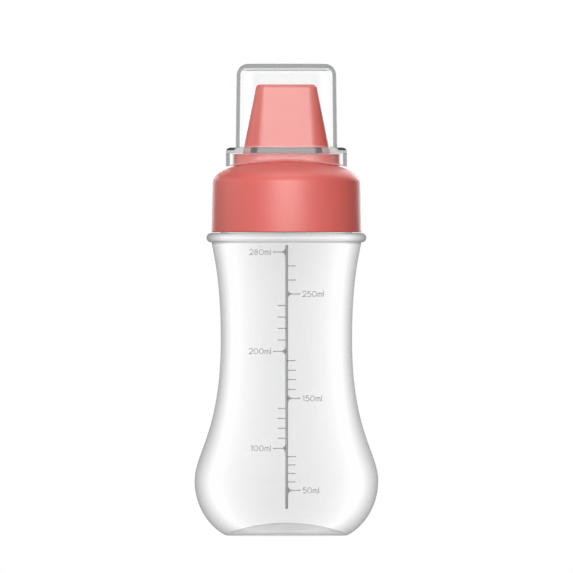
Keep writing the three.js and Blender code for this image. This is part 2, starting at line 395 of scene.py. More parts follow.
@dataclass(frozen=True)
class ClearStyrene(Finish):
    """Clear polystyrene, injection moulded in a polished mould.

    It is clear, with a faint haze face on. It turns grey where the eye looks along a wall or
    into the rounded edge of a plate, because light from there has come a long way through it.
    The light that the thick ledge bends like a lens is painted on it, by how far it has curved
    away: grey face on, then dark, then light and mostly clear, and dark again near its end. White
    bands over and under the ledge are painted highlights, and so is the white lit skin on the
    skirt's hem, for the light that it gathers from above. Slants run from 0 face on to 1 along the
    surface, and tilts from 0 on upright walls to 1 on level faces.
    """

    edge_colour: str = "#A0A2A3"
    dim_colour: str = "#E4E6E7"
    haze_colour: str = "#B0B2B2"
    skirt_colour: str = "#E4E6E6"
    roughness: float = 0.06
    ior: float = 1.59
    specular: float = 0.0
    haze: float = 0.044
    haze_slants: tuple[float, float] = (0.02, 0.15)  # between which it fades
    skirt_haze: float = 0.042
    skirt_slant: float = 0.17  # what the skirt's haze gains with the slant
    skirt_fade: tuple[float, float] = (0.37, 0.46)  # the slants between which it thins
    skirt_thin: float = 0.15  # the share of it that is left then
    fillets: tuple[float, float] = (1.05, 1.75)  # where the painted highlight bands lie, over and under the ledge's middle
    painted_fillet_highlight: float = 0.078
    gloss: float = 0.002  # how much it mirrors face on, and then what it gains along the skin
    rim_gloss: float = 0.02
    gloss_power: float = 5.0
    edge: float = 0.3  # how much a grey edge hides
    inner_edge: float = 0.04  # how grey a wall's inner face turns, as a share of the outer's
    level_tilts: tuple[float, float] = (0.97, 0.995)  # between which a rounded edge ends
    round_slants: tuple[float, float] = (0.04, 0.14)  # between which it turns grey
    hem: float = 0.7  # how much the hem's painted white highlight hides
    hem_top: float = 147.5
    hem_tilts: tuple[float, float] = (0.15, 0.3)  # between which the hem starts
    hem_front: float = 0.5  # how much of its light falls on its front, and the rest on its back
    wall_band: float = 0.465  # the slant from which the box's walls turn grey
    skirt_band: float = 0.53  # the same for the skirt's
    band_softness: float = 0.05
    end_offset: float = 8.9  # how far the middle of each round end lies from the axis
    wall_middle: float = 9.9  # the radius between the inner and the outer face of a wall
    skirt_middle: float = 13.7
    ledge: tuple[float, float] = (149.12, 151.3)
    ledge_middle: float = 150.2
    ledge_depth: float = 0.8  # how far inside the skirt's middle the ledge's rim starts
    ceiling: float = 181.3  # from here up, all faces count as outer ones
    plates: tuple[tuple[float, float, float], ...] = (
        (149.1, 151.35, 1.0), (182.15, 184.0, 1.35), (181.3, 181.75, 0.6),
    )  # the heights between which a plate's rounded edge turns grey, and how much
    lens: tuple[tuple[float, str, float], ...] = (
        (0.0, "#A2A4A4", 0.9), (0.13, "#A2A4A4", 0.9), (0.2, "#6A6A6A", 0.9),
        (0.33, "#6A6A6A", 0.9), (0.41, "#F4F6F6", 0.3), (0.74, "#F4F6F6", 0.3),
        (0.8, "#505252", 0.85),
    )  # painted light and shade for the light that the ledge bends: how far it has curved away, its colour there and how much it hides
    lower_curve: float = 0.7  # past this, the ledge's lower half looks as it does here

    def point(self, add: AddNode) -> CapPoint:
        """Adds the nodes that read where a point lies and how it is seen.

        Args:
            add: adds a node to the material's tree.
        Returns:
            Their outputs.
        """
        part = add("SeparateXYZ", {0: add("TexCoord").outputs["Object"]})
        height = part.outputs["Z"]
        upright = add("SeparateXYZ", {0: add("NewGeometry").outputs["Normal"]}).outputs["Z"]
        across = add("Math", {0: part.outputs["X"]}, operation="ABSOLUTE")
        beyond = add("Math", {0: across, 1: self.end_offset * MM}, operation="SUBTRACT")
        beyond = add("Math", {0: beyond, 1: 0.0}, operation="MAXIMUM")
        flat = add("CombineXYZ", {0: beyond, 1: part.outputs["Y"]})
        return CapPoint(
            height=height, beyond=beyond,
            facing=add("LayerWeight", {"Blend": 0.5}).outputs["Facing"],
            tilt=add("Math", {0: upright}, operation="ABSOLUTE"),
            reach=add("VectorMath", {0: flat}, operation="LENGTH").outputs["Value"],
            skirt=add("Math", {0: height, 1: self.ledge[0] * MM}, operation="LESS_THAN"),
        )

    def edges(self, add: AddNode, at: CapPoint) -> bpy.types.Node:
        """Finds how grey a wall looks from along it, and a plate at its rounded edge.

        Args:
            add: adds a node to the material's tree.
            at: the point.
        Returns:
            The share of the full grey.
        """
        middle = add("Math", {
            0: at.skirt, 1: (self.skirt_middle - self.wall_middle) * MM, 2: self.wall_middle * MM,
        }, operation="MULTIPLY_ADD")
        outer = add("Math", {0: at.reach, 1: middle}, operation="GREATER_THAN")
        above = add("Math", {0: at.height, 1: self.ceiling * MM}, operation="GREATER_THAN")
        outer = add("Math", {0: outer, 1: above}, operation="MAXIMUM")
        share = add("Math", {
            0: outer, 1: 1 - self.inner_edge, 2: self.inner_edge,
        }, operation="MULTIPLY_ADD")
        start = add("Math", {
            0: at.skirt, 1: self.skirt_band - self.wall_band, 2: self.wall_band,
        }, operation="MULTIPLY_ADD")
        end = add("Math", {0: start, 1: self.band_softness}, operation="ADD")
        along = add("MapRange", {
            "Value": at.facing, "From Min": start, "From Max": end,
        }, interpolation_type="SMOOTHSTEP")
        along = add("Math", {0: along, 1: share}, operation="MULTIPLY")
        steep = add("MapRange", {
            "Value": at.tilt, **rising(self.level_tilts), **FADE,
        }, interpolation_type="SMOOTHSTEP")
        turned = add("MapRange", {
            "Value": at.facing, **rising(self.round_slants),
        }, interpolation_type="SMOOTHSTEP")
        for low, high, weight in self.plates:
            plate = add("Math", {0: at.height, **within(low, high)}, operation="COMPARE")
            for factor in (steep, turned, weight, share):
                plate = add("Math", {0: plate, 1: factor}, operation="MULTIPLY")
            along = add("Math", {0: along, 1: plate}, operation="MAXIMUM")
        return along

    def hem_share(self, add: AddNode, at: CapPoint) -> bpy.types.Node:
        """Finds the skirt's hem.

        Args:
            add: adds a node to the material's tree.
            at: the point.
        Returns:
            1 on the hem and 0 elsewhere.
        """
        hem = add("MapRange", {
            "Value": at.tilt, **rising(self.hem_tilts),
        }, interpolation_type="SMOOTHSTEP")
        low = add("Math", {0: at.height, 1: self.hem_top * MM}, operation="LESS_THAN")
        return add("Math", {0: hem, 1: low}, operation="MULTIPLY")

    def veil(
        self, add: AddNode, at: CapPoint, along: bpy.types.Node
    ) -> tuple[bpy.types.NodeSocket, bpy.types.Node]:
        """Finds the haze of the walls and the skirt, and the white bands painted as highlights by
        the ledge.

        Args:
            add: adds a node to the material's tree.
            at: the point.
            along: how grey it looks as an edge.
        Returns:
            The colour of what hides the view through the plastic, and how much it hides.
        """
        away = add("Math", {0: at.height, 1: self.ledge_middle * MM}, operation="SUBTRACT")
        away = add("Math", {0: away}, operation="ABSOLUTE")
        # painted highlight: white bands just over and under the ledge, where fillets would catch
        # light
        fillet = add("Math", {0: away, **within(*self.fillets)}, operation="COMPARE")
        tint = linear(self.haze_colour)
        skirt, edge = linear(self.skirt_colour), linear(self.edge_colour)
        for share, colour in ((at.skirt, skirt), (fillet, WHITE), (along, edge)):
            tint = add("Mix", {0: share, 6: tint, 7: colour}, data_type="RGBA").outputs[2]
        hides = add("MapRange", {
            "Value": at.facing, **rising(self.haze_slants), "To Min": self.haze, "To Max": 0.0,
        }, interpolation_type="SMOOTHSTEP")
        slant = add("Math", {
            0: at.facing, 1: self.skirt_slant, 2: self.skirt_haze,
        }, operation="MULTIPLY_ADD")
        thin = add("MapRange", {
            "Value": at.facing, **rising(self.skirt_fade), "To Min": 1.0,
            "To Max": self.skirt_thin,
        })
        slant = add("Math", {0: slant, 1: thin}, operation="MULTIPLY")
        for share, weight in ((at.skirt, slant), (fillet, self.painted_fillet_highlight), (along, self.edge)):
            hides = add("Math", {0: share, 1: weight, 2: hides}, operation="MULTIPLY_ADD")
        return tint, hides

    def bend(
        self, add: AddNode, at: CapPoint, tint: bpy.types.NodeSocket, hides: bpy.types.Node
    ) -> tuple[bpy.types.NodeSocket, bpy.types.Node]:
        """Lays the ledge's painted light and shade, for the light that it bends like a lens, over
        the haze.

        Args:
            add: adds a node to the material's tree.
            at: the point.
            tint: the haze's colour.
            hides: how much the haze hides.
        Returns:
            The two with the ledge's own in their place.
        """
        rim = add("Math", {0: at.height, **within(*self.ledge)}, operation="COMPARE")
        start = (self.skirt_middle - self.ledge_depth) * MM
        front = add("Math", {0: at.reach, 1: start}, operation="GREATER_THAN")
        rim = add("Math", {0: rim, 1: front}, operation="MULTIPLY")
        curve = add("Math", {0: at.beyond, 1: at.reach}, operation="DIVIDE")
        upper = add("Math", {0: at.height, 1: self.ledge_middle * MM}, operation="GREATER_THAN")
        limit = add("Math", {
            0: upper, 1: 1 - self.lower_curve, 2: self.lower_curve,
        }, operation="MULTIPLY_ADD")
        # painted light and shade: dark and light bands set by how far the ledge's round end has
        # curved away
        lens = add("ValToRGB", {0: add("Math", {0: curve, 1: limit}, operation="MINIMUM")})
        stops = lens.color_ramp.elements
        for number, (place, colour, hidden) in enumerate(self.lens):
            stop = stops[number] if number < 2 else stops.new(place)
            stop.position = place
            stop.color = (*linear(colour)[:3], hidden)
        tint = add("Mix", {0: rim, 6: tint, 7: lens.outputs["Color"]}, data_type="RGBA").outputs[2]
        return tint, add("Mix", {0: rim, 2: hides, 3: lens.outputs["Alpha"]}, data_type="FLOAT")

    def surface(self, add: AddNode) -> bpy.types.Node:
        """Builds the clear wall with its gloss, haze and grey edges, and the painted light and
        shade of its ledge and hem.

        Args:
            add: adds a node to the material's tree.
        Returns:
            The last shader.
        """
        at = self.point(add)
        hem = self.hem_share(add, at)
        bare = add("Math", {0: 1.0, 1: hem}, operation="SUBTRACT")
        along = add("Math", {0: self.edges(add, at), 1: bare}, operation="MULTIPLY")
        tint, hides = self.bend(add, at, *self.veil(add, at, along))
        dim = add("Mix", {0: along, 6: WHITE, 7: linear(self.dim_colour)}, data_type="RGBA")
        grazing = add("Math", {0: at.facing, 1: self.gloss_power}, operation="POWER")
        mirror = add("Math", {
            0: grazing, 1: self.rim_gloss, 2: self.gloss,
        }, operation="MULTIPLY_ADD")
        body = add("BsdfPrincipled", {
            "Base Color": tint, "Roughness": self.roughness, "IOR": self.ior,
            "Specular IOR Level": self.specular,
        })
        # painted highlight: a white skin, lit from both sides, on the hem for the light that the
        # clear plastic carries there
        painted_hem_highlight = add("MixShader", {
            0: self.hem_front, 1: add("BsdfTranslucent", {"Color": WHITE}),
            2: add("BsdfDiffuse", {"Color": WHITE}),
        })
        hem_highlight_share = add("Math", {0: hem, 1: self.hem}, operation="MULTIPLY")
        wall = add("BsdfTransparent", {"Color": dim.outputs[2]})
        gloss = add("BsdfGlossy", {"Roughness": self.roughness})
        for share, shader in ((mirror, gloss), (hides, body), (hem_highlight_share, painted_hem_highlight)):
            wall = add("MixShader", {0: share, 1: wall, 2: shader})
        return wall


@dataclass(frozen=True)
class MouldedSilicone(Finish):
    """Natural silicone rubber, compression moulded: matt, soft to the eye and slightly dusty."""

    colour: str = "#DEDBD3"
    roughness: float = 0.55
    roughness_change: float = 0.06
    speck: float = 0.8
    depth: float = 1.5  # how far light wanders under the skin
    through: float = 0.2  # how much of it does

    def surface(self, add: AddNode) -> bpy.types.Node:
        """Builds the dusty matt skin.

        Args:
            add: adds a node to the material's tree.
        Returns:
            The shader.
        """
        place = add("TexCoord").outputs["Object"]
        dust = add("TexNoise", {"Vector": place, "Scale": 1 / (self.speck * MM)})
        matt = add("MapRange", {"Value": dust, **around(self.roughness, self.roughness_change)})
        return add("BsdfPrincipled", {
            "Base Color": linear(self.colour), "Roughness": matt,
            "Subsurface Weight": self.through, "Subsurface Scale": self.depth * MM,
        })


@dataclass(frozen=True)
class PadPrintInk(Finish):
    """Grey ink, pad printed: a thin, even, dull layer with a slight mottle."""

    colour: str = "#9E9E9E"
    roughness: float = 0.6
    roughness_change: float = 0.1
    mottle: float = 0.6

    def surface(self, add: AddNode) -> bpy.types.Node:
        """Builds the dull layer.

        Args:
            add: adds a node to the material's tree.
        Returns:
            The shader.
        """
        place = add("TexCoord").outputs["Object"]
        mottle = add("TexNoise", {"Vector": place, "Scale": 1 / (self.mottle * MM)})
        dull = add("MapRange", {"Value": mottle, **around(self.roughness, self.roughness_change)})
        return add("BsdfPrincipled", {"Base Color": linear(self.colour), "Roughness": dull})


@dataclass(frozen=True)
class StudioPaper(Finish):
    """The floor's white paper: as bright as the backdrop to the eye, and it keeps a shadow.

    Near the bottle a share of what the eye sees is the lit paper, and so holds the shadow. That
    share fades out before the paper's ends.
    """

    colour: str = "#969696"
    shadow_share: float = 0.3
    shadow_reach: tuple[float, float] = (120.0, 500.0)
    lit_paper: float = 0.2  # how bright the paper is out of the bottle's shadow

    def surface(self, add: AddNode) -> bpy.types.Node:
        """Builds the paper, which glows to the eye by as much as its shadow's share loses.

        Args:
            add: adds a node to the material's tree.
        Returns:
            The last shader.
        """
        place = add("TexCoord").outputs["Object"]
        away = add("VectorMath", {0: place}, operation="LENGTH").outputs["Value"]
        share = add("MapRange", {
            "Value": away, **rising(self.shadow_reach, MM), "To Min": self.shadow_share,
            "To Max": 0.0,
        }, interpolation_type="SMOOTHSTEP")
        paper = add("BsdfDiffuse", {"Color": linear(self.colour)})
        lost = add("Math", {0: share, 1: 1 - self.lit_paper}, operation="MULTIPLY")
        left = add("Math", {0: 1.0, 1: share}, operation="SUBTRACT")
        strength = add("Math", {0: lost, 1: left}, operation="DIVIDE")
        strength = add("Math", {0: strength, 1: 1.0}, operation="ADD")
        glow = add("Emission", {"Strength": strength})
        bright = add("MixShader", {0: share, 1: glow, 2: paper})
        return add("MixShader", {0: seen_rays(add), 1: paper, 2: bright})


def seen_rays(add: AddNode) -> bpy.types.Node:
    """Adds the test for rays that show the backdrop, straight or through clear plastic.

    Args:
        add: adds a node to the tree of the world or of the floor's material.
    Returns:
        A node that gives 1 for such a ray and otherwise 0.
    """
    path = add("LightPath").outputs
    return add("Math", {
        0: path["Is Camera Ray"], 1: path["Is Transmission Ray"],
    }, operation="MAXIMUM")


@dataclass
class Section:
    """Half of a piece cut through its axis: points of radius and height, in order."""

    points: list[tuple[float, float]] = field(default_factory=list)

    def to(self, *points: tuple[float, float]) -> "Section":
        """Goes on in straight lines.

        Args:
            points: the next points. One that lies where the last does is left out.
        Returns:
            The section itself.
        """
        for point in points:
            if not self.points or math.dist(point, self.points[-1]) > SAME_PLACE:
                self.points.append(point)
        return self

    def arc(
        self, middle: tuple[float, float], across: float, up: float,
        start: float, end: float, steps: int,
    ) -> "Section":
        """Goes on along an arc of an ellipse.

        Args:
            middle: the ellipse's middle.
            across: its half width.
            up: its half height.
            start: the angle in degrees at which the arc starts, from outwards towards up.
            end: the angle at which it ends.
            steps: the number of straight steps.
        Returns:
            The section itself.
        """
        for angle in np.radians(np.linspace(start, end, steps + 1)):
            self.to((middle[0] + across * math.cos(angle), middle[1] + up * math.sin(angle)))
        return self

    def curve(
        self, knots: tuple[tuple[float, float], ...], steps: int, inset: float = 0.0
    ) -> "Section":
        """Goes on along a smooth curve.

        Args:
            knots: its start, its two handles and its end.
            steps: the number of straight steps.
            inset: how far it is moved to its left, inwards where it goes up.
        Returns:
            The section itself.
        """
        path = interpolate_bezier(*(Vector(knot).to_3d() for knot in knots), steps + 1)
        for i, point in enumerate(path):
            along = (path[min(i + 1, steps)] - path[max(i - 1, 0)]).normalized()
            self.to((point.x - inset * along.y, point.y + inset * along.x))
        return self

    def arch(self, radius: float, foot: float, rise: float, steps: int) -> "Section":
        """Goes on up a shallow arch, part of a sphere, to the axis.

        Args:
            radius: where it starts.
            foot: the height at which it starts.
            rise: how much higher its middle is.
            steps: the number of straight steps.
        Returns:
            The section itself.
        """
        sphere = (radius ** 2 + rise ** 2) / (2 * rise)
        edge = 90 - math.degrees(math.asin(radius / sphere))
        middle = (0.0, foot + rise - sphere)
        return self.arc(middle, sphere, sphere, edge, ALMOST_UP, steps).to((0.0, foot + rise))

    def dome(
        self, foot: float, radius: float, rise: float, steps: int, start: float = 0.0
    ) -> "Section":
        """Goes on up an elliptical dome to the axis.

        Args:
            foot: the height of its foot.
            radius: its radius there.
            rise: how much higher its middle is.
            steps: the number of straight steps.
            start: the angle in degrees at which the arc starts.
        Returns:
            The section itself.
        """
        return self.arc((0.0, foot), radius, rise, start, ALMOST_UP, steps).to((0.0, foot + rise))

    def reversed(self) -> "Section":
        """Gives the same points from the last to the first."""
        return Section(self.points[::-1])

    def then(self, other: "Section") -> "Section":
        """Goes on with another section's points."""
        return self.to(*other.points)


class Form:
    """A mesh in the making, shaped by bmesh's operators."""

    def __init__(self, mesh: bmesh.types.BMesh | None = None) -> None:
        """Starts with a mesh, or an empty one."""
        self.mesh = mesh or bmesh.new()

    @classmethod
    def turned(
        cls, section: Section, steps: int = TURN_STEPS, inner: list[float] | None = None
    ) -> "Form":
        """Turns a section round the axis into a closed form.

        Args:
            section: starts and ends on the axis, or closes on itself.
            steps: the number of steps round.
            inner: for each point, how much it belongs to the wall's inner skin.
        Returns:
            The form.
        """
        form = cls()
        layer = form.mesh.verts.layers.float.new(INNER_SKIN) if inner else None
        verts = [form.mesh.verts.new((r * MM, 0.0, z * MM)) for r, z in section.points]
        for vert, share in zip(verts, inner or ()):
            vert[layer] = share
        edges = [form.mesh.edges.new(pair) for pair in zip(verts, verts[1:])]
        bmesh.ops.spin(
            form.mesh, geom=verts + edges, cent=(0, 0, 0), axis=(0, 0, 1),
            angle=2 * math.pi, steps=steps, use_merge=True,
        )
        return form.closed()

    def closed(self, near: float = 1e-4) -> "Form":
        """Merges what lies together and turns the faces outwards.

        Args:
            near: how near is together, in millimetres.
        Returns:
            The form itself.
        """
        bmesh.ops.remove_doubles(self.mesh, verts=self.mesh.verts[:], dist=near * MM)
        bmesh.ops.recalc_face_normals(self.mesh, faces=self.mesh.faces[:])
        return self

    def pulled(
        self, heights: tuple[float, ...], offsets: tuple[float, ...], steps: int = OBLONG_STEPS
    ) -> "Form":
        """Pulls a turned form's halves apart along X, which makes its round outlines oblong.

        Args:
            heights: the heights at which the offsets hold.
            offsets: how far each half moves there, with straight lines between.
            steps: the number of steps that the form was turned with.
        Returns:
            The form itself.
        """
        bmesh.ops.rotate(
            self.mesh, cent=(0, 0, 0), verts=self.mesh.verts[:],
            matrix=Matrix.Rotation(math.pi / steps, 3, "Z"),
        )
        margin = 0.02 * MM  # half the strip that is stretched between the halves
        for side in (1, -1):
            slit(self.mesh, (side * margin, 0, 0), (1, 0, 0))
        for vert in self.mesh.verts:
            if abs(vert.co.x) > margin / 2:
                offset = np.interp(vert.co.z / MM, heights, offsets) * MM
                vert.co.x += math.copysign(offset, vert.co.x)
        return self.closed()

    def piece(self, name: str) -> bpy.types.Object:
        """Ends the making and gives the form as an object at the origin.

        Args:
            name: the object's name.
        Returns:
            The object.
        """
        for face in self.mesh.faces:
            face.smooth = True
        for edge in self.mesh.edges:
            edge.smooth = edge.calc_face_angle(0.0) < SHARP_ANGLE
        data = bpy.data.meshes.new(name)
        self.mesh.to_mesh(data)
        self.mesh.free()
        piece = bpy.data.objects.new(name, data)
        bpy.context.scene.collection.objects.link(piece)
        return piece

    @classmethod
    def of(cls, piece: bpy.types.Object) -> "Form":
        """Takes a copy of an object's finished mesh back into the making.

        Args:
            piece: the object.
        Returns:
            The form.
        """
        form = cls()
        form.mesh.from_mesh(piece.data)
        return form


def slit(
    mesh: bmesh.types.BMesh, place: tuple[float, ...], normal: tuple[float, ...]
) -> None:
    """Cuts all faces of a mesh along a plane and keeps both sides.

    Args:
        mesh: the mesh.
        place: a point of the plane, in metres.
        normal: the plane's normal.
    """
    bmesh.ops.bisect_plane(
        mesh, geom=mesh.verts[:] + mesh.edges[:] + mesh.faces[:], dist=CUT_TOLERANCE,
        plane_co=place, plane_no=normal,
    )


def work(
    piece: bpy.types.Object, *steps: tuple[Join, Form], near: float = 1e-3
) -> bpy.types.Object:
    """Adds and cuts forms on a piece, in order, and marks its sharp edges anew.

    Args:
        piece: the piece to work on.
        steps: for each form, whether it is added or cut, and the form.
        near: how near points are merged afterwards, in millimetres.
    Returns:
        The piece, with the work in its mesh.
    """
    for number, (join, form) in enumerate(steps):
        tool = form.piece(f"{piece.name}_tool{number}")
        modifier = piece.modifiers.new("work", "BOOLEAN")
        modifier.operation = join.value
        modifier.solver = "EXACT"
        modifier.object = tool
        settle(piece)
        bpy.data.objects.remove(tool)
    form = Form.of(piece)
    # The solver numbers its points anew in each run, and the merge would follow their order.
    places = sorted(form.mesh.verts, key=lambda vert: tuple(vert.co))
    form.mesh.verts.sort(key={vert: number for number, vert in enumerate(places)}.get)
    bmesh.ops.remove_doubles(form.mesh, verts=form.mesh.verts[:], dist=near * MM)
    bmesh.ops.dissolve_degenerate(form.mesh, dist=near * MM, edges=form.mesh.edges[:])
    name, old = piece.name, piece.data
    fresh = form.piece(name + "_worked")
    piece.data = fresh.data
    bpy.data.objects.remove(fresh)
    bpy.data.meshes.remove(old)
    piece.data.name = name
    return piece


def settle(piece: bpy.types.Object) -> None:
    """Takes what a piece's modifiers make into its mesh, and removes them.

    Args:
        piece: the piece.
    """
    graph = bpy.context.evaluated_depsgraph_get()
    made = bpy.data.meshes.new_from_object(piece.evaluated_get(graph))
    old = piece.data
    piece.modifiers.clear()
    piece.data = made
    bpy.data.meshes.remove(old)


def dress(
    piece: bpy.types.Object, material: bpy.types.Material, body: Body,
    stands_for: str | None = None,
) -> bpy.types.Object:
    """Gives a piece its finish and its body, and reports it.

    Args:
        piece: the finished piece.
        material: its material.
        body: the body that it rides on.
        stands_for: the CAD node that it is shown in place of, if any.
    Returns:
        The piece.
    """
    piece.data.materials.clear()
    piece.data.materials.append(material)
    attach(piece, body.value)
    note = ""
    if stands_for:
        corners = [Vector(v.co) for v in piece.data.vertices]
        low, high = (Vector(map(end, zip(*corners))) for end in (min, max))
        solid_low, solid_high = (Vector(corner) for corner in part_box(stands_for))
        apart = max(*map(abs, low - solid_low), *map(abs, high - solid_high)) / MM
        note = f", box within {apart:.2f} mm of {stands_for}"
        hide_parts(stands_for)
    log.info("%s: %d faces on %s%s", piece.name, len(piece.data.polygons), body.value, note)
    return piece


@dataclass
class Thread:
    """A right-handed thread ridge that runs round a neck or inside a bore.

    A negative height of the ridge makes it stand inwards.
    """

    core_radius: float
    ridge_height: float
    foot_height: float
    turns: float
    start_angle: float
    pitch: float = 4.5
    root_width: float = 1.7
    crest_width: float = 0.8
    sunk: float = 0.15
    run_out_turns: float = 0.12
    crest_reach: float = 0.01  # how near the crest a point belongs to it
    steps_per_turn: int = 96

    def form(self) -> Form:
        """Turns the ridge's section along the thread, with ends that run out into the core.

        Returns:
            The form.
        """
        form = Form()
        inward = math.copysign(1.0, self.ridge_height)
        root = self.core_radius - inward * self.sunk
        crest = self.core_radius + self.ridge_height
        corners = (
            (root, -self.root_width / 2), (crest, -self.crest_width / 2),
            (crest, self.crest_width / 2), (root, self.root_width / 2),
        )
        foot = self.foot_height
        verts = [form.mesh.verts.new((r * MM, 0.0, (foot + z) * MM)) for r, z in corners]
        edges = [form.mesh.edges.new((a, b)) for a, b in zip(verts, verts[1:] + verts[:1])]
        steps = round(self.turns * self.steps_per_turn)
        rise = self.pitch * MM / self.steps_per_turn
        bmesh.ops.spin(
            form.mesh, geom=verts + edges, cent=(0, 0, 0), axis=(0, 0, 1), dvec=(0, 0, rise),
            angle=2 * math.pi * self.turns, steps=steps, use_merge=False,
        )
        for vert in form.mesh.verts:
            radius = vert.co.xy.length
            if abs(radius / MM - crest) > self.crest_reach:
                continue
            turn = (vert.co.z / MM - foot) / self.pitch
            share = max(0.0, min(1.0, min(turn, self.turns - turn) / self.run_out_turns))
            wanted = (root + (crest - root) * math.sin(share * math.pi / 2)) * MM
            vert.co.xy = vert.co.xy * (wanted / radius)
        ends = [edge for edge in form.mesh.edges if edge.is_boundary]
        bmesh.ops.holes_fill(form.mesh, edges=ends, sides=4)
        bmesh.ops.rotate(
            form.mesh, cent=(0, 0, 0), verts=form.mesh.verts[:],
            matrix=Matrix.Rotation(math.radians(self.start_angle), 3, "Z"),
        )
        return form.closed()


@dataclass
class Stack:
    """Sizes that several pieces share: what clamps on what, from the bead up."""

    bead_top: float = 117.95
    rim_height: float = 135.4
    flange_bottom: float = 137.2
    seat_height: float = 138.6
    dome_base: float = 137.6
    platform_top: float = 148.8
    shoulder_radius: float = 29.2
    neck_radius: float = 25.6
    neck_bore: float = 24.1
    gasket_bore: float = 23.3
    flange_radius: float = 26.2
    seat_inner_radius: float = 24.0
    dome_radius: float = 28.8
    dome_rise: float = 9.1
    end_offset: float = 8.9
    nozzle_root_radius: float = 8.3


@dataclass
class BottleBody:
    """The blown bottle: pushed-up base, bulge, waist, bead and threaded neck."""

    stack: Stack
    finish: BlownPolyethylene
    bulge_radius: float = 35.8
    bulge_height: float = 21.3
    waist_radius: float = 25.6
    waist_height: float = 76.3
    shoulder_height: float = 114.25
    wall: float = 0.9
    standing_radius: float = 23.0
    standing_width: float = 5.0
    heel_rounding: float = 2.2
    heel_slope: float = 24.0
    push_up_rise: float = 3.7
    bead_proud: float = 2.0
    bead_thickness: float = 3.7
    neck_floor: float = 1.6
    rim_rounding: float = 0.5
    thread_depth: float = 1.1
    thread_drop: float = 10.2  # how far under the rim the thread starts
    thread_turns: float = 1.6
    thread_start: float = 20.0  # the angle in degrees at which it starts
    floor_thickness: float = 1.25
    under_skin: float = 1.0  # how much the underside is taken for inner skin, and so isn't grey
    floor_skin: float = 0.56  # the same for the floor's upper side
    heel_handle_share: float = 0.235  # where the handles of the side's curves stand
    bulge_handle_shares: tuple[float, float] = (0.46, 0.2)  # below the bulge and above it
    waist_handle_shares: tuple[float, float] = (0.655, 0.632)  # below the waist and above it
    shoulder_handle_share: float = 0.105
    shoulder_slope: float = 0.15  # how far the curve leans out where it meets the bead

    def curves(self) -> list[tuple[tuple[float, float], ...]]:
        """Gives the knots of the outside's three curves, from the heel up to the bead.

        Returns:
            For each curve, its start, its two handles and its end.
        """
        slope = math.radians(self.heel_slope)
        heel_end = (
            self.standing_radius + self.heel_rounding * math.sin(slope),
            self.heel_rounding * (1 - math.cos(slope)),
        )
        reach = self.heel_handle_share * self.bulge_height
        rise = self.waist_height - self.bulge_height
        flare = self.shoulder_height - self.waist_height
        lean = self.shoulder_handle_share * flare
        below_bulge, above_bulge = self.bulge_handle_shares
        below_waist, above_waist = self.waist_handle_shares
        bulge = (self.bulge_radius, self.bulge_height)
        waist = (self.waist_radius, self.waist_height)
        shoulder = self.stack.shoulder_radius
        return [
            (heel_end,
             (heel_end[0] + reach * math.cos(slope), heel_end[1] + reach * math.sin(slope)),
             (self.bulge_radius, below_bulge * self.bulge_height), bulge),
            (bulge, (self.bulge_radius, self.bulge_height + above_bulge * rise),
             (self.waist_radius, self.waist_height - below_waist * rise), waist),
            (waist, (self.waist_radius, self.waist_height + above_waist * flare),
             (shoulder - self.shoulder_slope * lean, self.shoulder_height - lean),
             (shoulder, self.shoulder_height)),
        ]

    def section(self) -> tuple[Section, list[float]]:
        """Draws the shell's section: outside up to the rim, and inside down to the floor.

        Returns:
            The section, from the middle of the underside to the middle of the floor, and for
            each of its points how much it belongs to the inner skin.
        """
        stack, curves = self.stack, self.curves()
        heel = (self.standing_radius, self.heel_rounding)
        slope = self.heel_slope
        bead = self.bead_thickness / 2
        outside = Section().arch(
            self.standing_radius - self.standing_width, 0.0, self.push_up_rise, 14,
        ).reversed()
        skin = [self.under_skin] * len(outside.points)
        outside.arc(heel, self.heel_rounding, self.heel_rounding, -90, slope - 90, 6)
        for curve, steps in zip(curves, (26, 34, 24)):
            outside.curve(curve, steps)
        middle = (stack.shoulder_radius, self.shoulder_height + bead)
        outside.arc(middle, self.bead_proud, bead, -90, 90, 18)
        rim = self.rim_rounding
        outside.to((stack.neck_radius, stack.bead_top))
        for radius, start in ((stack.neck_radius - rim, 0), (stack.neck_bore + rim, 90)):
            outside.arc((radius, stack.rim_height - rim), rim, rim, start, start + 90, 5)
        rounding = self.heel_rounding - self.wall
        inside = Section().arc(heel, rounding, rounding, -90, slope - 90, 4)
        for curve, steps in zip(curves, (20, 28, 20)):
            inside.curve(curve, steps, self.wall)
        reach, top = inside.points[-1]
        inside.arc(
            (stack.neck_bore, top), reach - stack.neck_bore,
            stack.bead_top - self.neck_floor - top, 0, 90, 8,
        )
        skin += [0.0] * (len(outside.points) - len(skin))
        outside.then(inside.reversed())
        skin += [1.0] * (len(outside.points) - len(skin))
        rise = self.push_up_rise + self.floor_thickness - self.wall
        outside.arch(self.standing_radius, self.wall, rise, 18)
        return outside, skin + [self.floor_skin] * (len(outside.points) - len(skin))

    def build(self) -> bpy.types.Object:
        """Builds the bottle and its thread.

        Returns:
            The bottle, which the scale is printed on.
        """
        material = self.finish.material()
        section, skin = self.section()
        bottle = Form.turned(section, inner=skin).piece("bottle_shell")
        dress(bottle, material, Body.BOTTLE, "bottle_body")
        thread = Thread(
            core_radius=self.stack.neck_radius, ridge_height=self.thread_depth,
            foot_height=self.stack.rim_height - self.thread_drop, turns=self.thread_turns,
            start_angle=self.thread_start,
        )
        dress(thread.form().piece("neck_thread"), material, Body.BOTTLE)
        return bottle


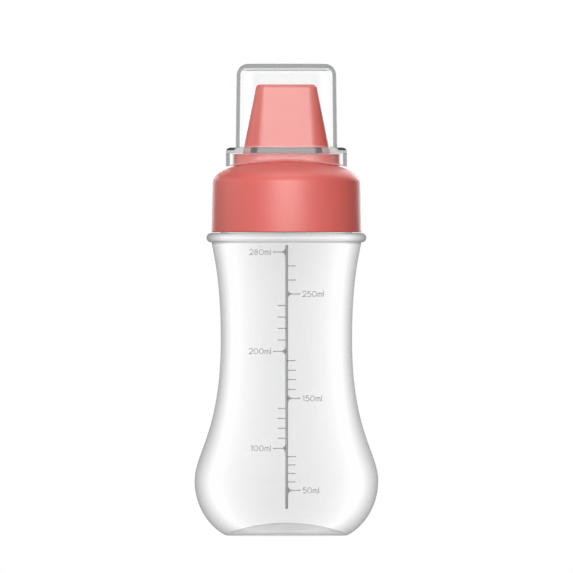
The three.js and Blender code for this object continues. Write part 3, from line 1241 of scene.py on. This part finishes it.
@dataclass
class NeckGasket:
    """The soft flat ring between the bottle's rim and the nozzle's flange."""

    stack: Stack
    finish: MouldedSilicone
    rounding: float = 0.35

    def build(self) -> None:
        """Builds the ring."""
        stack, r = self.stack, self.rounding
        low, high = stack.rim_height, stack.flange_bottom
        section = Section()
        for across, up, start in (
            (stack.flange_radius - r, low + r, -90), (stack.flange_radius - r, high - r, 0),
            (stack.gasket_bore + r, high - r, 90), (stack.gasket_bore + r, low + r, 180),
        ):
            section.arc((across, up), r, r, start, start + 90, 4)
        section.to(section.points[0])
        ring = Form.turned(section).piece("sealing_ring")
        dress(ring, self.finish.material(), Body.GASKET, "neck_gasket")


@dataclass
class ScrewCollar:
    """The domed collar that screws down over the neck, with the platform for the nozzle."""

    stack: Stack
    finish: MouldedPolypropylene
    radius: float = 29.2
    bore: float = 27.3
    foot_height: float = 118.25
    foot_rounding: float = 0.3
    dome_wall: float = 1.7
    platform_margin: float = 3.6
    platform_wall: float = 1.8
    platform_rounding: float = 0.6
    deck_thickness: float = 1.8
    slot_gap: float = 0.3  # between the slot and the nozzle's root
    hollow_overrun: float = 0.6  # how far the platform's hollow runs down into the room below
    thread_depth: float = 1.1
    thread_drop: float = 14.7  # how far under the bottle's rim the thread starts
    thread_turns: float = 2.0
    thread_start: float = 200.0  # the angle in degrees at which it starts

    def cup(self) -> Form:
        """Turns the collar's outside, filled.

        Returns:
            The form.
        """
        stack, foot = self.stack, self.foot_rounding
        section = Section().to((0.0, self.foot_height))
        section.arc((self.radius - foot, self.foot_height + foot), foot, foot, -90, 0, 5)
        return Form.turned(section.dome(stack.dome_base, stack.dome_radius, stack.dome_rise, 44))

    def cavity(self) -> Form:
        """Turns the room inside: the bore up to the seat, and the dome's inside above it.

        Returns:
            The form.
        """
        stack = self.stack
        across = stack.dome_radius - self.dome_wall
        up = stack.dome_rise - self.dome_wall
        edge = math.degrees(math.acos(stack.seat_inner_radius / across))
        foot = self.foot_height - OVERRUN
        section = Section().to(
            (0.0, foot), (self.bore, foot), (self.bore, stack.seat_height),
            (stack.seat_inner_radius, stack.seat_height),
        )
        return Form.turned(section.dome(stack.dome_base, across, up, 24, edge))

    def build(self) -> None:
        """Builds the collar and its inner thread."""
        stack = self.stack
        material = self.finish.material()
        radius = stack.nozzle_root_radius + self.platform_margin
        deck = stack.platform_top - self.deck_thickness
        platform = block(
            radius, stack.seat_height, stack.platform_top, stack.end_offset, self.platform_rounding,
        )
        hollow = block(
            radius - self.platform_wall, stack.seat_height - self.hollow_overrun, deck,
            stack.end_offset,
        )
        slot = block(
            stack.nozzle_root_radius + self.slot_gap, deck - OVERRUN,
            stack.platform_top + OVERRUN, stack.end_offset,
        )
        collar = work(
            self.cup().piece("screw_collar_shell"), (Join.ADD, platform),
            (Join.CUT, self.cavity()), (Join.CUT, hollow), (Join.CUT, slot),
        )
        dress(collar, material, Body.COLLAR, "screw_collar")
        thread = Thread(
            core_radius=self.bore, ridge_height=-self.thread_depth,
            foot_height=stack.rim_height - self.thread_drop, turns=self.thread_turns,
            start_angle=self.thread_start,
        )
        dress(thread.form().piece("collar_thread"), material, Body.COLLAR)


def block(
    radius: float, bottom: float, top: float, offset: float, rounding: float = 0.0,
    draft: float = 0.0, steps: int = 8,
) -> Form:
    """Makes an upright oblong block, with a rounded top edge if one is asked for.

    Args:
        radius: the radius of its ends at the bottom.
        bottom: the height of its foot.
        top: the height of its top.
        offset: how far the middle of each end lies from the axis.
        rounding: the radius of the top edge.
        draft: how far it leans in up to that edge.
        steps: the number of straight steps of that edge.
    Returns:
        The form.
    """
    section = Section().to((0.0, bottom), (radius, bottom))
    edge = radius - draft - rounding
    if rounding:
        section.arc((edge, top - rounding), rounding, rounding, 0, 90, steps)
    section.to((edge, top), (0.0, top))
    return Form.turned(section, OBLONG_STEPS).pulled((bottom, top), (offset, offset))


@dataclass
class Nozzle:
    """The flat nozzle: flange and shallow dome, a root through the slot, and a tapering blade."""

    stack: Stack
    finish: MouldedPolypropylene
    height: float = 27.1
    tip_end_offset: float = 8.2
    tip_radius: float = 3.8
    tip_rounding: float = 1.6
    tip_top_wall: float = 1.8
    tip_wall: float = 1.1
    wall: float = 1.4
    dome_radius: float = 23.7
    dome_rise: float = 4.4
    hole_count: int = 5
    hole_radius: float = 0.9
    hole_lip: float = 0.25
    hole_overrun: float = 1.0
    hole_steps: int = 40

    def foot(self) -> Form:
        """Turns the flange and the shallow dome over it, filled.

        Returns:
            The form.
        """
        stack = self.stack
        section = Section().to(
            (0.0, stack.flange_bottom), (stack.flange_radius, stack.flange_bottom),
            (stack.flange_radius, stack.seat_height), (self.dome_radius, stack.seat_height),
        )
        return Form.turned(section.dome(stack.seat_height, self.dome_radius, self.dome_rise, 24))

    def blade(self) -> Form:
        """Pulls the root and the tapering blade up to the rounded tip, filled.

        Returns:
            The form.
        """
        stack = self.stack
        tip = stack.platform_top + self.height
        turn = tip - self.tip_rounding
        section = Section().to(
            (0.0, stack.seat_height), (stack.nozzle_root_radius, stack.seat_height),
            (stack.nozzle_root_radius, stack.platform_top),
        )
        flat = self.tip_radius - self.tip_rounding
        section.arc((flat, turn), self.tip_rounding, self.tip_rounding, 0, 90, 10).to((0.0, tip))
        return Form.turned(section, OBLONG_STEPS).pulled(
            (stack.platform_top, turn), (stack.end_offset, self.tip_end_offset),
        )

    def channel(self) -> Form:
        """Pulls the oblong channel inside the root and the blade.

        Returns:
            The form.
        """
        stack = self.stack
        top = stack.platform_top + self.height - self.tip_top_wall
        bore = stack.nozzle_root_radius - self.wall
        foot = stack.flange_bottom - OVERRUN
        section = Section().to(
            (0.0, foot), (bore, foot), (bore, stack.platform_top),
            (self.tip_radius - self.tip_wall, top), (0.0, top),
        )
        return Form.turned(section, OBLONG_STEPS).pulled(
            (stack.platform_top, top), (stack.end_offset, self.tip_end_offset),
        )

    def chamber(self) -> Form:
        """Turns the shallow room under the foot's dome.

        Returns:
            The form.
        """
        seat, bore = self.stack.flange_bottom, self.stack.gasket_bore
        section = Section().to((0.0, seat - OVERRUN), (bore, seat - OVERRUN))
        return Form.turned(section.dome(seat, bore, self.dome_rise, 20))

    def hole(self, across: float) -> Form:
        """Makes the cutter for one hole in the tip.

        Args:
            across: the hole's place along X.
        Returns:
            The form.
        """
        tip = self.stack.platform_top + self.height
        low, high = tip - self.tip_top_wall - self.hole_overrun, tip + self.hole_overrun
        mouth = self.hole_radius + self.hole_lip
        section = Section().to(
            (0.0, low), (self.hole_radius, low), (self.hole_radius, tip - self.hole_lip),
            (mouth, tip), (mouth, high), (0.0, high),
        )
        form = Form.turned(section, self.hole_steps)
        bmesh.ops.translate(form.mesh, vec=(across * MM, 0, 0), verts=form.mesh.verts[:])
        return form

    def build(self) -> None:
        """Builds the nozzle."""
        pitch = 2 * self.tip_end_offset / (self.hole_count - 1)
        holes = [self.hole(i * pitch - self.tip_end_offset) for i in range(self.hole_count)]
        nozzle = work(
            self.foot().piece("nozzle_moulding"), (Join.ADD, self.blade()),
            (Join.CUT, self.chamber()), (Join.CUT, self.channel()),
            *((Join.CUT, hole) for hole in holes),
        )
        dress(nozzle, self.finish.material(), Body.COLLAR, "nozzle")


@dataclass
class DustCap:
    """The clear box over the nozzle, with its ledge and the skirt round the platform."""

    stack: Stack
    finish: ClearStyrene
    inner_radius: float = 9.3
    wall: float = 1.6
    top_wall: float = 2.3
    draft: float = 0.4  # how far the box leans in from its foot to its rounded top
    rounding: float = 4.4
    rounding_steps: int = 14
    inner_top: float = 181.6
    ledge_bottom: float = 149.1
    ledge_thickness: float = 2.15
    ledge_rounding: float = 1.7
    skirt_inner_radius: float = 12.7
    skirt_wall: float = 2.0
    hem_gap: float = 1.0

    def build(self) -> None:
        """Builds the dust cap, whose hem follows the collar's dome at a small gap."""
        stack = self.stack
        offset, base = stack.end_offset, stack.dome_base
        outside = block(
            self.inner_radius + self.wall, self.ledge_bottom, self.inner_top + self.top_wall,
            offset, self.rounding, self.draft, self.rounding_steps,
        )
        inside = block(
            self.inner_radius, self.ledge_bottom - OVERRUN, self.inner_top, offset,
            self.rounding - self.wall, self.draft, self.rounding_steps,
        )
        skirt = block(
            self.skirt_inner_radius + self.skirt_wall, base,
            self.ledge_bottom + self.ledge_thickness, offset, self.ledge_rounding,
        )
        socket = block(self.skirt_inner_radius, base - OVERRUN, self.ledge_bottom, offset)
        dome = Section().to((0.0, base - OVERRUN), (stack.dome_radius, base - OVERRUN))
        dome.dome(base + self.hem_gap, stack.dome_radius, stack.dome_rise, 44)
        cap = work(
            outside.piece("clear_dust_cap"), (Join.ADD, skirt),
            (Join.CUT, Form.turned(dome)), (Join.CUT, inside), (Join.CUT, socket),
        )
        dress(cap, self.finish.material(), Body.DUST_CAP, "dust_cap")


@dataclass
class VolumeScale:
    """The volume scale, printed on the front of the bottle.

    A main line carries short ticks, and long ones with a flared foot and a number of millilitres,
    which change sides at each number.
    """

    finish: PadPrintInk
    middle: float = 0.11  # where the main line stands along X
    line_width: float = 1.05
    line_foot: float = 10.8
    line_top: float = 113.2
    tick_width: float = 0.36
    short_reach: float = 3.5
    long_reach: float = 5.3
    flare: float = 1.9
    flare_sunk: float = 0.05  # how far a flared foot reaches into the main line
    flare_start_share: float = 0.4  # of a tick's width, from its middle
    label_gap: float = 0.8
    digit_height: float = 2.24
    stroke: float = 0.24
    sheet_distance: float = 60.0  # how far in front of the axis it is drawn, before it is wrapped
    sheet_width: tuple[float, float] = (-15.4, 15.4)
    sheet_height: tuple[float, float] = (9.0, 114.0)
    lift: float = 0.045  # how far the ink's sheet stands off the wall before it gets its thickness
    thickness: float = 0.025
    marks: tuple[tuple[int, float, Side], ...] = (
        (280, 110.5, Side.LEFT), (250, 94.2, Side.RIGHT), (200, 71.9, Side.LEFT),
        (150, 53.6, Side.RIGHT), (100, 34.2, Side.LEFT), (50, 17.9, Side.RIGHT),
    )
    ticks: tuple[tuple[Side, tuple[float, ...]], ...] = (
        (Side.RIGHT, (105.1, 99.6)), (Side.LEFT, (89.7, 85.2, 80.8, 76.3)),
        (Side.RIGHT, (68.3, 64.5, 60.9, 57.1)), (Side.LEFT, (49.7, 45.8, 42.0, 38.1)),
        (Side.RIGHT, (31.0, 27.8, 24.5, 21.2)),
    )

    def build(self, bottle: bpy.types.Object) -> None:
        """Prints the scale on the bottle.

        Args:
            bottle: the piece that the print lies on.
        """
        pen = Pen(self.sheet_distance)
        pen.line((self.middle, self.line_foot), (self.middle, self.line_top), self.line_width)
        for side, heights in self.ticks:
            for height in heights:
                end = self.middle + side.value * self.short_reach
                pen.line((self.middle, height), (end, height), self.tick_width)
        for volume, height, side in self.marks:
            end = self.middle + side.value * self.long_reach
            pen.line((self.middle, height), (end, height), self.tick_width)
            self.flared_foot(pen, height, side)
            self.label(pen, f"{volume}ml", end + side.value * self.label_gap, height, side)
        print_sheet = pen.sheet("printed_scale", self.sheet_width, self.sheet_height)
        wrap = print_sheet.modifiers.new("wrap", "SHRINKWRAP")
        wrap.target = bottle
        wrap.wrap_method = "PROJECT"
        wrap.use_project_y = True
        wrap.use_negative_direction = False
        wrap.use_positive_direction = True
        wrap.offset = self.lift * MM
        layer = print_sheet.modifiers.new("layer", "SOLIDIFY")
        layer.thickness = self.thickness * MM
        layer.offset = 1.0
        settle(print_sheet)
        dress(print_sheet, self.finish.material(), Body.BOTTLE)

    def flared_foot(self, pen: "Pen", height: float, side: Side) -> None:
        """Draws the two hollow fillets where a long tick leaves the main line.

        Args:
            pen: the pen to draw with.
            height: the tick's height.
            side: the side that it stands on.
        """
        corner = self.middle + side.value * self.line_width / 2 - side.value * self.flare_sunk
        for up in (1, -1):
            start = (corner, height + up * self.tick_width * self.flare_start_share)
            pen.fillet(start, side.value * self.flare, up * self.flare)

    def label(self, pen: "Pen", text: str, start: float, height: float, side: Side) -> None:
        """Writes a number of millilitres beside its mark.

        Args:
            pen: the pen to write with.
            text: the digits and the unit.
            start: where the text's near end lies.
            height: the height of its middle.
            side: the side that it lies on.
        """
        size = self.digit_height
        widths = [Glyph.ADVANCES[letter] * size for letter in text]
        place = start if side is Side.RIGHT else start - sum(widths)
        for letter, width in zip(text, widths):
            for kind, *numbers in Glyph.STROKES[letter]:
                scaled = [n * size for n in numbers[:4 if kind in ("line", "oval") else 3]]
                middle = (place + scaled[0], height - size / 2 + scaled[1])
                if kind == "line":
                    end = (place + scaled[2], height - size / 2 + scaled[3])
                    pen.line(middle, end, self.stroke)
                elif kind == "oval":
                    pen.oval(middle, scaled[2], scaled[3], self.stroke)
                else:
                    pen.arc(middle, scaled[2], numbers[3], numbers[4], self.stroke)
            place += width


class Glyph:
    """Thin round letters of the scale, in shares of a digit's height.

    A line has its two ends, an oval its middle and half sizes, and an arc its middle, radius,
    first angle and sweep in degrees.
    """

    ADVANCES: dict[str, float] = {
        "0": 0.96, "1": 0.5, "2": 0.82, "5": 0.82, "8": 0.86, "m": 0.98, "l": 0.14,
    }
    STROKES: dict[str, tuple[tuple, ...]] = {
        "0": (("oval", 0.42, 0.5, 0.40, 0.5),),
        "1": (("line", 0.27, 0.0, 0.27, 1.0), ("line", 0.28, 0.98, 0.06, 0.8)),
        "2": (("arc", 0.35, 0.67, 0.32, 165, -205), ("line", 0.6, 0.47, 0.04, 0.04),
              ("line", 0.0, 0.05, 0.68, 0.05)),
        "5": (("line", 0.6, 0.95, 0.16, 0.95), ("line", 0.18, 0.97, 0.12, 0.52),
              ("arc", 0.33, 0.33, 0.32, 130, -280)),
        "8": (("oval", 0.36, 0.27, 0.33, 0.28), ("oval", 0.36, 0.76, 0.26, 0.24)),
        "m": (("line", 0.06, 0.0, 0.06, 0.68), ("line", 0.42, 0.0, 0.42, 0.48),
              ("line", 0.78, 0.0, 0.78, 0.48), ("arc", 0.24, 0.48, 0.18, 180, -180),
              ("arc", 0.60, 0.48, 0.18, 180, -180)),
        "l": (("line", 0.06, 0.0, 0.06, 1.02),),
    }


class Pen:
    """Draws flat strokes on an upright sheet in front of the bottle."""

    LEAST_STEPS = 6
    STEP_ANGLE = 12
    OVAL_STEPS = 36
    FILLET_STEPS = 10

    def __init__(self, distance: float) -> None:
        """Starts an empty sheet.

        Args:
            distance: how far in front of the axis the sheet stands.
        """
        self.mesh = bmesh.new()
        self.front = -distance

    def at(self, point: tuple[float, float]) -> Vector:
        """Gives a point of the sheet in space."""
        return Vector((point[0] * MM, self.front * MM, point[1] * MM))

    def line(self, start: tuple[float, float], end: tuple[float, float], width: float) -> None:
        """Draws a straight stroke.

        Args:
            start: the middle of its first end.
            end: the middle of its last end.
            width: its width.
        """
        along = self.at(end) - self.at(start)
        across = along.cross(Vector((0, 1, 0))).normalized() * (width / 2 * MM)
        corners = [self.mesh.verts.new(self.at(start) + across * s) for s in (1, -1)]
        edge = self.mesh.edges.new(corners)
        moved = bmesh.ops.extrude_edge_only(self.mesh, edges=[edge])["geom"]
        ends = [item for item in moved if isinstance(item, bmesh.types.BMVert)]
        bmesh.ops.translate(self.mesh, vec=along, verts=ends)

    def arc(
        self, middle: tuple[float, float], radius: float, start: float, sweep: float, width: float
    ) -> None:
        """Draws a curved stroke.

        Args:
            middle: the arc's middle.
            radius: its radius along the middle of the stroke.
            start: the angle in degrees at which it starts, from the right towards up.
            sweep: the angle that it runs through.
            width: the stroke's width.
        """
        angle = math.radians(start)
        outwards = Vector((math.cos(angle), 0, math.sin(angle)))
        corners = [
            self.mesh.verts.new(self.at(middle) + outwards * ((radius + s * width / 2) * MM))
            for s in (1, -1)
        ]
        edge = self.mesh.edges.new(corners)
        bmesh.ops.spin(
            self.mesh, geom=corners + [edge], cent=self.at(middle), axis=(0, -1, 0),
            angle=math.radians(sweep),
            steps=max(self.LEAST_STEPS, round(abs(sweep) / self.STEP_ANGLE)),
        )

    def oval(
        self, middle: tuple[float, float], half_width: float, half_height: float, width: float
    ) -> None:
        """Draws a closed oval stroke.

        Args:
            middle: the oval's middle.
            half_width: from there to the outside of the stroke, sideways.
            half_height: the same upwards.
            width: the stroke's width.
        """
        loops = []
        upright = Matrix.Rotation(math.pi / 2, 4, "X")
        for inset in (0.0, width):
            size = Matrix.Diagonal((
                (half_width - inset) * MM, 1.0, (half_height - inset) * MM, 1.0,
            ))
            ring = bmesh.ops.create_circle(
                self.mesh, segments=self.OVAL_STEPS, radius=1.0,
                matrix=Matrix.Translation(self.at(middle)) @ size @ upright,
            )["verts"]
            loops += list({edge for vert in ring for edge in vert.link_edges})
        bmesh.ops.bridge_loops(self.mesh, edges=loops)

    def fillet(self, corner: tuple[float, float], across: float, up: float) -> None:
        """Fills the hollow corner between a tick and the main line.

        Args:
            corner: the corner.
            across: the fillet's radius along the tick, negative to the left.
            up: the same along the main line, negative downwards.
        """
        start = self.mesh.verts.new(self.at((corner[0], corner[1] + up)))
        middle = self.at((corner[0] + across, corner[1] + up))
        sweep = math.copysign(math.pi / 2, across * up)
        made = bmesh.ops.spin(
            self.mesh, geom=[start], cent=middle, axis=(0, -1, 0), angle=sweep,
            steps=self.FILLET_STEPS,
        )
        last = made["geom_last"][0]
        point = self.mesh.verts.new(self.at(corner))
        self.mesh.edges.new((start, point))
        self.mesh.edges.new((point, last))
        loop = [edge for edge in self.mesh.edges if edge.is_wire]
        bmesh.ops.contextual_create(self.mesh, geom=loop)

    def sheet(
        self, name: str, width: tuple[float, float], height: tuple[float, float],
        cell: float = 1.1,
    ) -> bpy.types.Object:
        """Cuts the strokes small enough to bend, and gives them as an object.

        Args:
            name: the object's name.
            width: from where to where the sheet reaches along X.
            height: the same upwards.
            cell: the largest straight piece.
        Returns:
            The object.
        """
        for normal, limits in (((1, 0, 0), width), ((0, 0, 1), height)):
            for place in np.arange(*limits, cell):
                slit(self.mesh, [share * place * MM for share in normal], normal)
        away = [face for face in self.mesh.faces if face.normal.y > 0]
        bmesh.ops.reverse_faces(self.mesh, faces=away)
        return Form(self.mesh).piece(name)


@dataclass
class Softbox:
    """A lamp with an even face that looks at the bottle's middle."""

    name: str
    size: tuple[float, float]  # width and height in metres
    distance: float
    azimuth: float
    elevation: float
    power: float
    aim: float = 0.09  # the height in metres that it looks at

    def build(self) -> None:
        """Hangs the lamp. An azimuth of 0 is at the front, and positive is to the right."""
        lamp = bpy.data.lights.new(self.name, "AREA")
        lamp.shape = "RECTANGLE"
        lamp.size, lamp.size_y = self.size
        lamp.energy = self.power
        holder = bpy.data.objects.new(self.name, lamp)
        turn, rise = math.radians(self.azimuth), math.radians(self.elevation)
        outwards = Vector((
            math.sin(turn) * math.cos(rise), -math.cos(turn) * math.cos(rise), math.sin(rise),
        ))
        holder.location = Vector((0, 0, self.aim)) + outwards * self.distance
        holder.rotation_euler = outwards.to_track_quat("Z", "Y").to_euler()
        holder.visible_camera = False
        bpy.context.scene.collection.objects.link(holder)


@dataclass
class Studio:
    """The white paper floor, the soft lamps, the white surroundings and the camera."""

    paper: StudioPaper
    floor_side: float = 6.0
    floor_gap: float = 0.05  # keeps the paper and the standing ring from sharing a plane
    surround: float = 0.03
    frame_width: float = 223.5  # millimetres that the picture is wide at the bottle
    aim: tuple[float, float] = (0.03, 97.07)
    distance: float = 8.0
    sight: float = 50.0  # how far the camera sees, well past the paper
    sensor: float = 36.0
    lamps: tuple[Softbox, ...] = (
        Softbox("front_softbox", (1.0, 1.0), 1.3, 1.0, 12.0, 19.8),
        Softbox("top_softbox", (1.0, 1.0), 1.4, 0.0, 88.0, 6.1),
        Softbox("left_softbox", (2.0, 1.4), 1.5, -96.0, 10.0, 8.2),
        Softbox("back_softbox", (1.4, 1.2), 1.5, 166.0, 32.0, 10.5),
        Softbox("left_rim_light", (0.5, 0.6), 1.5, -160.0, 8.0, 4.4),
        Softbox("right_rim_light", (0.5, 0.6), 1.5, 161.0, 8.0, 5.4),
    )

    def build(self) -> None:
        """Builds the studio."""
        self.lay_floor()
        for lamp in self.lamps:
            lamp.build()
        self.light_surroundings()
        self.place_camera()
        log.info("studio: %d lamps, camera at %.1f m", len(self.lamps), self.distance)

    def lay_floor(self) -> None:
        """Lays the paper under the bottle."""
        form = Form()
        bmesh.ops.create_grid(form.mesh, x_segments=8, y_segments=8, size=self.floor_side / 2)
        bmesh.ops.translate(form.mesh, vec=(0, 0, -self.floor_gap * MM), verts=form.mesh.verts[:])
        floor = form.piece("paper_floor")
        floor.data.materials.append(self.paper.material())

    def light_surroundings(self) -> None:
        """Makes the world white to the eye, and a dim studio to everything else."""
        world = bpy.data.worlds.new("studio_surroundings")
        world.use_nodes = True
        world.node_tree.nodes.clear()
        add = partial(add_node, world.node_tree)
        soft, white = (
            add("Background", {"Color": WHITE, "Strength": strength})
            for strength in (self.surround, 1.0)
        )
        both = add("MixShader", {0: seen_rays(add), 1: soft, 2: white})
        add("OutputWorld", {"Surface": both})
        bpy.context.scene.world = world

    def place_camera(self) -> None:
        """Places the camera level with the bottle, with a long lens that fills the frame."""
        lens = bpy.data.cameras.new("studio_camera")
        lens.sensor_width = self.sensor
        lens.lens = self.sensor * self.distance / (self.frame_width * MM)
        lens.clip_end = self.sight
        camera = bpy.data.objects.new("studio_camera", lens)
        camera.location = (self.aim[0] * MM, -self.distance, self.aim[1] * MM)
        camera.rotation_euler = (math.pi / 2, 0.0, 0.0)
        bpy.context.scene.collection.objects.link(camera)
        bpy.context.scene.camera = camera


def main() -> None:
    """Builds the bottle's sub-assemblies and the studio."""
    logging.basicConfig(level=logging.INFO, format="%(message)s")
    bpy.context.scene.view_settings.view_transform = "Standard"
    stack = Stack()
    body = BottleBody(stack, BlownPolyethylene("blow_moulded_milky_polyethylene"))
    bottle = body.build()
    VolumeScale(PadPrintInk("pad_printed_grey_ink")).build(bottle)
    NeckGasket(stack, MouldedSilicone("moulded_silicone_rubber")).build()
    ScrewCollar(stack, MouldedPolypropylene("moulded_coral_polypropylene")).build()
    Nozzle(
        stack, MouldedPolypropylene(
            "moulded_coral_polypropylene_nozzle", colour="#E27066", roughness=0.425,
        ),
    ).build()
    DustCap(stack, ClearStyrene("moulded_clear_styrene")).build()
    Studio(StudioPaper("white_studio_paper")).build()


if __name__ == "__main__":
    main()
